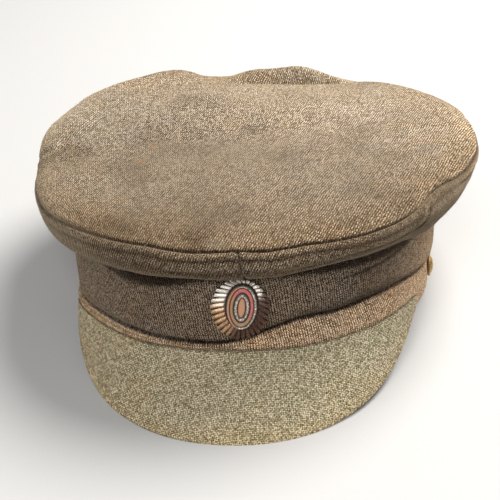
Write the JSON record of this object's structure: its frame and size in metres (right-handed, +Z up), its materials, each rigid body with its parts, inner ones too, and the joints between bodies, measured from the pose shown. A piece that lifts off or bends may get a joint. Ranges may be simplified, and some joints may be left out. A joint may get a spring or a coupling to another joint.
{
  "type": "peaked field cap",
  "caption": "Soldier's peaked field cap of wool cloth with a soft overhanging crown, a folded band, a cloth-covered peak, an oval rayed cockade and brass side buttons.",
  "frame": {"origin": "bottom centre of the cap's bounding box, on the surface that it rests on", "axes": "+Z up; the front of the cap, with its peak, faces -Y; +X is to the right as one looks at the front"},
  "size_m": [0.2384, 0.266, 0.0897],
  "materials": {
    "crown_wool": "heathered khaki-brown wool twill, faded and dusty",
    "band_wool": "darker brown wool twill with a felted surface",
    "peak_wool": "smooth olive-green melton over a stiff board, worn yellowish at the rim",
    "ray_metal": "worn silvered brass, rusty brown in the hollows",
    "cockade_enamel": "rubbed coral, orange and dark enamel rings on stamped metal",
    "button_brass": "tarnished"
  },
  "bodies": {
    "root": {"crown_top": "crown_wool", "crown_side_left": "crown_wool", "crown_side_right": "crown_wool", "band": "band_wool", "peak": "peak_wool", "cockade_rays": "ray_metal", "cockade_boss": "cockade_enamel", "side_button_right": "button_brass", "side_button_left": "button_brass"}
  },
  "joints": []
}
